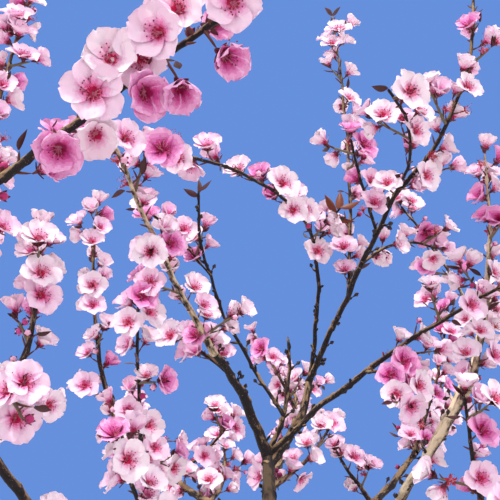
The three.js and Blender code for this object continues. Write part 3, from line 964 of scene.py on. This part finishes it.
def add_petal(bm, turn, columns, rows, foot, tip, phase, flush):
    """A petal that stands on the flower's rim, from foot to tip degrees above level, coloured in zones."""
    made = bmesh.ops.create_grid(bm, x_segments=columns, y_segments=rows, size=1)["verts"]
    for face in {f for v in made for f in v.link_faces}:
        middle = face.calc_center_median()
        share = ((middle.y + 1) / 2) ** 1.1
        streak = (1 - abs(middle.x)) * (0.1 + 0.06 * math.cos(14 * middle.x + phase))
        streak += 0.025 * math.sin(61 * middle.x + 37 * middle.y + phase)
        face.material_index = sum(share > foot_end * flush + streak for foot_end in ZONES)
    for vertex in made:
        side, share = vertex.co.x, ((vertex.co.y + 1) / 2) ** 1.1
        width = PETAL_WIDE * np.interp(share, PETAL_SHARES, PETAL_WIDTHS)
        bend = math.radians(foot + (tip - foot) * share)
        half = math.radians(foot + (tip - foot) * share / 2)
        notch = 1.1 * share**8 * math.exp(-((side / 0.22) ** 2))
        reach = PETAL_LONG * share * (1 - 0.1 * side * side * share) - notch
        ruffle = 1.1 * share**2 * math.sin(3.7 * side + phase)
        ruffle += 0.8 * share**3 * math.sin(8.5 * side + 2.3 * phase)
        crease = 0.3 * share * math.sin(11 * share + 3 * side + phase)
        lift = 4.2 * side * side * (1 - 0.4 * share) + ruffle + crease + 0.1 * width * side
        out = PETAL_OUT + reach * math.cos(half) - lift * math.sin(bend)
        up = PETAL_UP + reach * math.sin(half) + lift * math.cos(bend)
        vertex.co = Vector((out, width * side, up))
    bmesh.ops.rotate(bm, cent=(0, 0, 0), matrix=turned_about_z(turn), verts=made)


def turned_about_z(angle):
    return Matrix.Rotation(math.radians(angle), 3, "Z")


def petals_shape(detail, foot, tip, phase, flush):
    """A flower's petals, from foot to tip degrees above level, with zones that reach flush times ZONES."""
    bm = bmesh.new()
    columns, rows = PETAL_GRIDS[detail]
    for k in range(PETAL_COUNT):
        wobble = 5 * math.sin(3 * k + phase)
        turn = 360 / PETAL_COUNT * k + wobble
        add_petal(bm, turn, columns, rows, foot + wobble, tip + 2 * wobble, phase + 1.9 * k, flush)
    return taken(bm)


def stamens_shape(fine, phase):
    """Filaments that spread from the flower's heart, each with an anther."""
    bm = bmesh.new()
    count = 28 if fine else 12
    for k in range(count):
        lean = math.radians(np.interp((k * 0.618 + phase) % 1, (0, 1), STAMEN_LEANS))
        turn = math.radians(k * GOLDEN)
        long = 9.0 + 3.5 * math.sin(5 * k + phase)
        way = Vector((math.sin(lean) * math.cos(turn), math.sin(lean) * math.sin(turn), math.cos(lean)))
        spin = way.to_track_quat("Z", "X").to_matrix()
        thick = 0.22 if fine else 0.3
        stalk = bmesh.ops.create_cone(
            bm, cap_ends=False, segments=3, radius1=thick, radius2=thick * 0.6, depth=long
        )
        bmesh.ops.rotate(bm, cent=(0, 0, 0), matrix=spin, verts=stalk["verts"])
        bmesh.ops.translate(bm, vec=way * long / 2 + Vector((0, 0, STAMEN_FOOT)), verts=stalk["verts"])
        if fine:
            head = bmesh.ops.create_icosphere(bm, subdivisions=1, radius=0.62)
        else:
            head = bmesh.ops.create_cone(bm, cap_ends=True, segments=3, radius1=0.75, radius2=0, depth=1.5)
        for face in {f for v in head["verts"] for f in v.link_faces}:
            face.material_index = 1
        bmesh.ops.rotate(bm, cent=(0, 0, 0), matrix=spin, verts=head["verts"])
        bmesh.ops.translate(bm, vec=way * long + Vector((0, 0, STAMEN_FOOT)), verts=head["verts"])
    return taken(bm)


def calyx_shape(fine, spread):
    """A cup on a short stalk, with five pointed sepals that lean out by spread degrees."""
    bm = bmesh.new()
    segments = 10 if fine else 5
    stalk = bmesh.ops.create_cone(bm, cap_ends=False, segments=segments, radius1=0.8, radius2=1.1, depth=3)
    bmesh.ops.translate(bm, vec=(0, 0, 0.6), verts=stalk["verts"])
    cup = bmesh.ops.create_cone(bm, cap_ends=True, segments=segments, radius1=1.2, radius2=2.6, depth=3.8)
    bmesh.ops.translate(bm, vec=(0, 0, 3.6), verts=cup["verts"])
    columns, rows = (2, 3) if fine else (1, 2)
    lean = math.radians(spread)
    for k in range(PETAL_COUNT):
        sepal = bmesh.ops.create_grid(bm, x_segments=columns, y_segments=rows, size=1)["verts"]
        for vertex in sepal:
            side, share = vertex.co.x, (vertex.co.y + 1) / 2
            width = 2 * (1 - share**2.2) + 0.15
            reach = 5.6 * share
            sag = 0.7 * side * side
            out = 2.2 + reach * math.sin(lean) + sag * math.cos(lean)
            vertex.co = Vector((out, width * side, 4.9 + reach * math.cos(lean) - sag * math.sin(lean)))
        between = turned_about_z(360 / PETAL_COUNT * (k + 0.5))
        bmesh.ops.rotate(bm, cent=(0, 0, 0), matrix=between, verts=sepal)
    return taken(bm)


def bud_shape(fine):
    """A round bud of wrapped petals that stands in its calyx."""
    bm = bmesh.new()
    around, high = (12, 8) if fine else (8, 6)
    radius = BUD_WIDE / 2
    ball = bmesh.ops.create_uvsphere(bm, u_segments=around, v_segments=high, radius=radius)["verts"]
    for vertex in ball:
        x, y, z = vertex.co
        turn = math.atan2(y, x)
        fold = 1 + 0.08 * math.sin(5 * turn + 1.1 * z)
        draw = 1 - 0.1 * max(0, z) / radius
        vertex.co = Vector((x * fold * draw, y * fold * draw, z * 1.12 + 6.6))
    for face in {f for v in ball for f in v.link_faces}:
        face.material_index = 0 if face.calc_center_median().z > 7 else 1
    return taken(bm)


def leaf_shape(folded):
    """A narrow pointed leaf, folded along its middle rib."""
    bm = bmesh.new()
    grid = bmesh.ops.create_grid(bm, x_segments=2, y_segments=6, size=1)["verts"]
    for vertex in grid:
        side, share = vertex.co.x, (vertex.co.y + 1) / 2
        width = LEAF_WIDE * math.sin(math.pi * min(1, 0.04 + 0.96 * share) ** 0.8) + 0.1
        rise = folded * width * abs(side)
        curl = 5 * share**2
        spread = math.sqrt(max(0.05, 1 - folded**2 / 2))
        vertex.co = Vector((rise + curl, width * side * spread, LEAF_LONG * share))
    return taken(bm)


# Materials.


def node_material(name, colour, roughness):
    """A Principled material with a plain base colour. Returns it with its nodes, links and shader."""
    material = bpy.data.materials.new(name)
    material.use_nodes = True
    nodes, links = material.node_tree.nodes, material.node_tree.links
    shader = nodes["Principled BSDF"]
    shader.inputs["Base Color"].default_value = (*colour, 1)
    shader.inputs["Roughness"].default_value = roughness
    return material, nodes, links, shader


def add_bump(nodes, links, shader, coordinates, scale, distance, strength):
    """Fine relief from noise, linked to the shader's normal."""
    grain = nodes.new("ShaderNodeTexNoise")
    grain.inputs["Scale"].default_value = scale
    grain.inputs["Detail"].default_value = 4
    links.new(coordinates, grain.inputs["Vector"])
    bump = nodes.new("ShaderNodeBump")
    bump.inputs["Distance"].default_value = distance
    bump.inputs["Strength"].default_value = strength
    links.new(grain.outputs["Fac"], bump.inputs["Height"])
    links.new(bump.outputs["Normal"], shader.inputs["Normal"])


def petal_material(name, colour):
    """Soft matt petal with fine veins."""
    material, nodes, links, shader = node_material(name, colour, 0.55)
    place = nodes.new("ShaderNodeTexCoord")
    add_bump(nodes, links, shader, place.outputs["Object"], 420, 0.0006, 0.35)
    shader.inputs["Subsurface Weight"].default_value = 0.35
    shader.inputs["Subsurface Radius"].default_value = (1.0, 0.55, 0.6)
    shader.inputs["Subsurface Scale"].default_value = 0.004
    shader.inputs["Specular IOR Level"].default_value = 0.3
    shader.inputs["Sheen Weight"].default_value = 0.15
    return material


def petal_materials(colours):
    """For each tint a material for every zone of a petal, from its heart to its edge."""
    materials = []
    for tint in TINTS:
        zones = [f"{tint}_{zone}" for zone in ("heart", "flush", "blush", "edge")]
        heart, flush, blush, edge = (np.array(getattr(colours, zone)) for zone in zones)
        shades = (heart, 0.5 * (heart + flush), flush, 0.5 * (flush + blush), blush, edge)
        materials += [petal_material(f"petal_{tint}_{k}", tuple(shade)) for k, shade in enumerate(shades)]
    return materials


def plain_material(name, colour, roughness, scale=600, strength=0.4):
    """A small part's finish: its own colour with a fine uneven surface."""
    material, nodes, links, shader = node_material(name, colour, roughness)
    place = nodes.new("ShaderNodeTexCoord")
    add_bump(nodes, links, shader, place.outputs["Object"], scale, 0.0004, strength)
    return material


def stretched(nodes, links, source, along_limb):
    """The places that a source node gives, scaled along the limb."""
    mapping = nodes.new("ShaderNodeMapping")
    mapping.inputs["Scale"].default_value = (1, 1, along_limb)
    links.new(source.outputs["Vector"], mapping.inputs["Vector"])
    return mapping.outputs["Vector"]


def named_attribute(nodes, name):
    node = nodes.new("ShaderNodeAttribute")
    node.attribute_name = name
    return node


def weathered_patches(nodes, links, places, patches, colours):
    """A ramp from dark through brown to tan over patches of noise, with painted sunlight that lightens a
    limb's sunward side and painted shade that darkens its other side.
    """
    cloudy = nodes.new("ShaderNodeTexNoise")
    cloudy.inputs["Scale"].default_value = patches
    cloudy.inputs["Detail"].default_value = 6
    cloudy.inputs["Roughness"].default_value = 0.65
    links.new(places, cloudy.inputs["Vector"])
    # Painted sunlight and painted shade: the noise raised on a limb's sunward side and lowered on its other
    # side.
    painted_sun_added = nodes.new("ShaderNodeMath")
    painted_sun_added.operation = "MULTIPLY_ADD"
    painted_sun_added.inputs[1].default_value = PAINTED_SUN_STRENGTH
    links.new(named_attribute(nodes, "weather").outputs["Fac"], painted_sun_added.inputs[0])
    links.new(cloudy.outputs["Fac"], painted_sun_added.inputs[2])
    ramp = nodes.new("ShaderNodeValToRGB")
    ramp.color_ramp.elements.new(BARK_RAMP[1])
    for element, position, colour in zip(ramp.color_ramp.elements, BARK_RAMP, colours):
        element.position = position
        element.color = (*colour, 1)
    links.new(painted_sun_added.outputs["Value"], ramp.inputs["Fac"])
    return ramp.outputs["Color"]


def lenticels(nodes, links, places, spots):
    """How much of a small pale spot there is at each place."""
    dots = nodes.new("ShaderNodeTexVoronoi")
    dots.inputs["Scale"].default_value = spots
    links.new(places, dots.inputs["Vector"])
    few = nodes.new("ShaderNodeMapRange")
    few.inputs["From Min"].default_value = 0.14
    few.inputs["From Max"].default_value = 0.06
    links.new(dots.outputs["Distance"], few.inputs["Value"])
    return few.outputs["Result"]


def bark_material(name, dark, brown, tan, patches, spots):
    """Bark in three colours, with painted sunlight on the limb's sunward side and painted shade on the other,
    with pale lenticels and a rough surface.
    """
    material, nodes, links, shader = node_material(name, brown, 0.82)
    grain = named_attribute(nodes, "grain")
    furrowed = stretched(nodes, links, grain, 0.4)
    mix = nodes.new("ShaderNodeMix")
    mix.data_type = "RGBA"
    mix.inputs["B"].default_value = (*[min(1, 1.25 * part) for part in tan], 1)
    banded = stretched(nodes, links, grain, 3.5)
    links.new(lenticels(nodes, links, banded, spots), mix.inputs["Factor"])
    links.new(weathered_patches(nodes, links, furrowed, patches, (dark, brown, tan)), mix.inputs["A"])
    links.new(mix.outputs["Result"], shader.inputs["Base Color"])
    add_bump(nodes, links, shader, furrowed, 4 * patches, 0.0015, 0.8)
    return material


def dark_and_pale_bark(name, colours, patches, spots):
    dark = bark_material(name, colours.bark_dark, colours.bark_brown, colours.bark_tan, patches, spots)
    shades = colours.bark_brown, colours.pale_grey, colours.pale_tan
    return dark, bark_material(f"pale_{name}", *shades, patches, spots)


# Operators.


class BLOSSOM_OT_trunk(bpy.types.Operator):
    """Covers the trunk with furrowed bark, from its flat cut up to the fork"""

    bl_idname = "blossom.trunk"
    bl_label = "Trunk bark"

    def execute(self, context):
        sizes, colours = context.scene.blossom_sizes, context.scene.blossom_colours
        tree, _ = growth(context)
        heap = Heap()

        def girth(shares, angles):
            return trunk_girth(shares[:, None], angles[None, :])

        add_tube(heap, tree.limbs["trunk"], "trunk", trunk_relief(sizes.bark_relief / MM), girth=girth)
        heap.places[0][:, 2] = np.maximum(heap.places[0][:, 2], 0)
        # The trunk's tan: bark rubbed in patches, and painted sunlight on the trunk's sunward side.
        rubbed = [TRUNK_TAN * part for part in colours.bark_tan]
        brown = [TRUNK_BROWN * part for part in colours.bark_brown]
        bark = bark_material("trunk_bark", colours.bark_dark, brown, rubbed, patches=70, spots=90)
        heap.piece("trunk_bark", [bark], "bark", ["trunk"])
        return {"FINISHED"}


class BLOSSOM_OT_boughs(bpy.types.Operator):
    """Covers the boughs with knobbly bark"""

    bl_idname = "blossom.boughs"
    bl_label = "Bough bark"

    def execute(self, context):
        sizes, colours = context.scene.blossom_sizes, context.scene.blossom_colours
        tree, dressings = growth(context)
        bark, pale = dark_and_pale_bark("bough_bark", colours, patches=110, spots=160)
        fork = [name for name, row in BOUGHS.items() if row[0] != "trunk" or row[1] > 0.98]
        fork = [name for name in fork if name not in (*PALE, "near_side_bough")]
        low = [name for name in BOUGHS if name not in fork and name not in PALE]
        for title, names, material, slot in (
            ("fork_boughs", fork, bark, "bark"),
            ("outer_boughs", low, bark, "bark"),
            ("pale_boughs", list(PALE), pale, "pale_bark"),
        ):
            heap = Heap()
            for name in names:
                add_tube(heap, tree.limbs[name], "bough", bough_relief(sizes.knob_height / MM), lead=4)
                for spur in dressings[name].spurs:
                    add_tube(heap, spur, "bough_spur", twig_relief(0.3 * sizes.knob_height / MM))
            heap.piece(title, [material], slot, names)
        return {"FINISHED"}


class BLOSSOM_OT_twigs(bpy.types.Operator):
    """Grows the flowering stems, their side twigs and finer twigs"""

    bl_idname = "blossom.twigs"
    bl_label = "Stems and twigs"

    def execute(self, context):
        sizes, colours = context.scene.blossom_sizes, context.scene.blossom_colours
        tree, dressings = growth(context)
        knob = sizes.knob_height / MM
        stem_bark, pale_bark = dark_and_pale_bark("stem_bark", colours, patches=150, spots=260)
        young = [
            plain_material("young_twig", colours.twig, 0.6, 900),
            plain_material("spur", colours.spur, 0.6, 900),
        ]
        stems, pale_stems, twigs = Heap(), Heap(), Heap()
        pale = [name for name in MASSES if MASSES[name][0] in PALE or name in PALE_STEMS]
        for name in MASSES:
            heap = pale_stems if name in pale else stems
            # Painted sunlight that lightens these pale stems all round.
            painted_sun_added = 0.8 if name in PALE_STEMS else 0
            add_tube(heap, tree.limbs[name], "stem", twig_relief(0.5 * knob), lead=3, painted_sun_added=painted_sun_added)
            for twig in tree.twigs[name]:
                add_tube(twigs, twig, "twig", twig_relief(0.3 * knob))
            for spur in dressings[name].spurs:
                add_tube(twigs, spur, "spur", twig_relief(0.2 * knob), look=1)
        stems.piece("flowering_stems", [stem_bark], "bark", [name for name in MASSES if name not in pale])
        pale_stems.piece("pale_stems", [pale_bark], "pale_bark", pale)
        twigs.piece("young_twigs", young, "bark", [])
        return {"FINISHED"}


def flowers_of(dressings, fine):
    """The flowers of every mass and bough that are modelled finely, or those that aren't."""
    return [f for dressing in dressings.values() for f in dressing.flowers if (f.detail > 0) == fine]


def of_kind(flowers, kind):
    return [f for f in flowers if f.kind == kind]


def by_variant(flowers, kind):
    """Flowers of a kind, dealt out to its variants: those that face the viewing point open widest."""
    chosen = sorted(of_kind(flowers, kind), key=lambda f: f.facing @ TO_VIEW)
    count = len(KINDS[kind])
    return [chosen[len(chosen) * i // count : len(chosen) * (i + 1) // count] for i in range(count)]


def copy_flowers(heap, shape, flowers, width, shifts=None):
    """Adds a copy of the shape at each flower, width times as large, its looks shifted by shifts."""
    if flowers:
        turns = turns_for([f.facing for f in flowers], [f.twist for f in flowers])
        scales = np.array([f.scale for f in flowers]) * width
        heap.copies(shape, np.array([f.place for f in flowers]), turns, scales, shifts)


def add_petals(heap, flowers, detail, width):
    """Adds the petals of flowers of one detail, each kind in its variants. Deep pink ones flush further."""
    for kind, angles in KINDS.items():
        for i, chosen in enumerate(by_variant(flowers, kind)):
            for deep, flush in ((False, USUAL_FLUSH), (True, DEEP_FLUSH)):
                tinted = [f for f in chosen if (f.tint == DEEPEST) == deep]
                if tinted:
                    shape = petals_shape(detail, *angles[i], 1.3 * i + 0.4, flush)
                    shifts = np.array([(len(ZONES) + 1) * f.tint for f in tinted])
                    copy_flowers(heap, shape, tinted, width, shifts)


class BLOSSOM_OT_petals(bpy.types.Operator):
    """Opens five petals on every flower, each in zones from a deep heart to a pale rim"""

    bl_idname = "blossom.petals"
    bl_label = "Petals"

    def execute(self, context):
        sizes, colours = context.scene.blossom_sizes, context.scene.blossom_colours
        _, dressings = growth(context)
        width = sizes.flower_width / MM / FLOWER_WIDE
        materials = petal_materials(colours)
        for side, masses in SIDES.items():
            heap = Heap()
            homes = [*masses, *BOUGHS] if side == "centre" else masses
            for detail in range(len(PETAL_GRIDS)):
                flowers = [f for name in homes for f in dressings[name].flowers if f.detail == detail]
                add_petals(heap, flowers, detail, width)
            heap.piece(f"{side}_petals", materials, "blossom", masses)
        return {"FINISHED"}


class BLOSSOM_OT_hearts(bpy.types.Operator):
    """Sets stamens in every flower, and a calyx behind it"""

    bl_idname = "blossom.hearts"
    bl_label = "Stamens and calyxes"

    def execute(self, context):
        sizes, colours = context.scene.blossom_sizes, context.scene.blossom_colours
        _, dressings = growth(context)
        width, bud_width = sizes.flower_width / MM / FLOWER_WIDE, sizes.bud_width / MM / BUD_WIDE
        threads = [
            plain_material("filament", colours.filament, 0.5),
            plain_material("anther", colours.anther, 0.6),
        ]
        cups = [plain_material(name, getattr(colours, name), 0.5, 900) for name in ("calyx", "star", "scale")]
        stamens, calyxes = Heap(), Heap()
        for fine in (False, True):
            flowers = flowers_of(dressings, fine)
            for kind in KINDS:
                for i, chosen in enumerate(by_variant(flowers, kind)):
                    if kind == "open":
                        copy_flowers(stamens, stamens_shape(fine, 0.2 * i), chosen, width)
                    copy_flowers(calyxes, calyx_shape(fine, SEPALS[kind]), chosen, width)
            copy_flowers(stamens, stamens_shape(fine, 0.5), of_kind(flowers, "spent"), 0.85 * width)
            for kind, scale, look in (("spent", width, 1), ("bud", bud_width, 0), ("closed", 1.1, 2)):
                chosen = of_kind(flowers, kind)
                looks = np.full(len(chosen), look)
                copy_flowers(calyxes, calyx_shape(fine, SEPALS[kind]), chosen, scale, looks)
        stamens.piece("stamens", threads, "blossom", [])
        calyxes.piece("calyxes", cups, "blossom", [])
        return {"FINISHED"}


class BLOSSOM_OT_buds(bpy.types.Operator):
    """Sets round buds in their calyxes"""

    bl_idname = "blossom.buds"
    bl_label = "Buds"

    def execute(self, context):
        sizes, colours = context.scene.blossom_sizes, context.scene.blossom_colours
        _, dressings = growth(context)
        shades = ("bud", "rose_flush", "bud_deep", "calyx")
        closed = [petal_material(f"closed_{name}", getattr(colours, name)) for name in shades]
        heap = Heap()
        for fine in (False, True):
            buds = of_kind(flowers_of(dressings, fine), "bud")
            deep = np.array([2 if f.tint else 0 for f in buds])
            copy_flowers(heap, bud_shape(fine), buds, sizes.bud_width / MM / BUD_WIDE, deep)
        heap.piece("buds", closed, "blossom", [])
        return {"FINISHED"}


class BLOSSOM_OT_leaves(bpy.types.Operator):
    """Unfolds small bronze leaves at the twigs' tips"""

    bl_idname = "blossom.leaves"
    bl_label = "Young leaves"

    def execute(self, context):
        sizes, colours = context.scene.blossom_sizes, context.scene.blossom_colours
        tree, dressings = growth(context)
        materials = [plain_material(name, getattr(colours, name), 0.45) for name in ("leaf", "leaf_bronze")]
        heap = Heap()
        leaves = [leaf for name in MASSES for leaf in dressings[name].leaves]
        for name, (count, size, look) in TIP_LEAVES.items():
            spur = tree.limbs[name]
            for k in range(count):
                facing = unit(spur.way(1) * 0.5 + across(spur.way(1), 80 * k + 20) * (0.5 + 0.12 * k))
                leaves.append((spur.at(1 - 5 * k / spur.length), facing, 70 * k, size, 0, look))
        for kind, folded in enumerate(LEAF_FOLDS):
            places, facings, twists, scales, _, looks = zip(*(leaf for leaf in leaves if leaf[4] == kind))
            scales = np.array(scales) * sizes.leaf_length / MM / LEAF_LONG
            shape = leaf_shape(folded)
            heap.copies(shape, np.array(places), turns_for(facings, twists), scales, np.array(looks))
        heap.piece("young_leaves", materials, "blossom", [])
        return {"FINISHED"}


class BLOSSOM_OT_stage(bpy.types.Operator):
    """Sets up the pale floor, the soft light and the camera that looks up into the crown"""

    bl_idname = "blossom.stage"
    bl_label = "Stage"

    def execute(self, context):
        scene, colours = context.scene, context.scene.blossom_colours
        bm = bmesh.new()
        bmesh.ops.create_circle(bm, cap_ends=True, segments=96, radius=FLOOR_RADIUS)
        mesh = bpy.data.meshes.new("floor")
        bm.to_mesh(mesh)
        bm.free()
        floor = bpy.data.objects.new("floor", mesh)
        mesh.materials.append(plain_material("floor", colours.floor, 0.9, 40, 0.05))
        scene.collection.objects.link(floor)

        world = bpy.data.worlds.new("studio")
        scene.world = world
        world.use_nodes = True
        nodes, links = world.node_tree.nodes, world.node_tree.links
        soft = nodes["Background"]
        soft.inputs["Color"].default_value = (*SOFT_LIGHT, 1)
        soft.inputs["Strength"].default_value = SOFT_STRENGTH
        behind = nodes.new("ShaderNodeBackground")
        behind.inputs["Color"].default_value = (*colours.backdrop, 1)
        path, pick = nodes.new("ShaderNodeLightPath"), nodes.new("ShaderNodeMixShader")
        links.new(path.outputs["Is Camera Ray"], pick.inputs["Fac"])
        links.new(soft.outputs["Background"], pick.inputs[1])
        links.new(behind.outputs["Background"], pick.inputs[2])
        links.new(pick.outputs["Shader"], nodes["World Output"].inputs["Surface"])

        key = bpy.data.lights.new("key", "SUN")
        key.energy, key.angle, key.color = SUN_STRENGTH, math.radians(SUN_WIDTH), SUN_LIGHT
        sun = bpy.data.objects.new("key", key)
        sun.rotation_euler = Vector(SUNWARD).to_track_quat("Z", "Y").to_euler()
        scene.collection.objects.link(sun)

        lens = bpy.data.cameras.new("viewpoint")
        lens.sensor_width, lens.lens, lens.clip_start = VIEW_FRAME, VIEW_LENS, 0.01
        camera = bpy.data.objects.new("viewpoint", lens)
        camera.location = VIEWPOINT * MM
        camera.rotation_euler = (math.radians(90 + VIEW_RISE), 0, 0)
        scene.collection.objects.link(camera)
        scene.camera = camera
        scene.view_settings.view_transform = "Standard"
        return {"FINISHED"}


class BLOSSOM_PT_panel(bpy.types.Panel):
    """Lists the tree's pieces and their sizes and colours"""

    bl_idname = "BLOSSOM_PT_panel"
    bl_label = "Blossom tree"
    bl_space_type = "VIEW_3D"
    bl_region_type = "UI"
    bl_category = "Blossom tree"

    def draw(self, context):
        for piece in PIECES:
            self.layout.operator(piece.bl_idname)
        for group in (context.scene.blossom_sizes, context.scene.blossom_colours):
            box = self.layout.box()
            for name in type(group).__annotations__:
                box.prop(group, name)


PIECES = (
    BLOSSOM_OT_trunk,
    BLOSSOM_OT_boughs,
    BLOSSOM_OT_twigs,
    BLOSSOM_OT_petals,
    BLOSSOM_OT_hearts,
    BLOSSOM_OT_buds,
    BLOSSOM_OT_leaves,
    BLOSSOM_OT_stage,
)
CLASSES = (BLOSSOM_PG_sizes, BLOSSOM_PG_colours, *PIECES, BLOSSOM_PT_panel)


def register():
    for each in CLASSES:
        bpy.utils.register_class(each)
    bpy.types.Scene.blossom_sizes = bpy.props.PointerProperty(type=BLOSSOM_PG_sizes)
    bpy.types.Scene.blossom_colours = bpy.props.PointerProperty(type=BLOSSOM_PG_colours)


def unregister():
    del bpy.types.Scene.blossom_colours
    del bpy.types.Scene.blossom_sizes
    for each in reversed(CLASSES):
        bpy.utils.unregister_class(each)


def main():
    register()
    for piece in ("trunk", "boughs", "twigs", "petals", "hearts", "buds", "leaves", "stage"):
        getattr(bpy.ops.blossom, piece)()


if __name__ == "__main__":
    main()
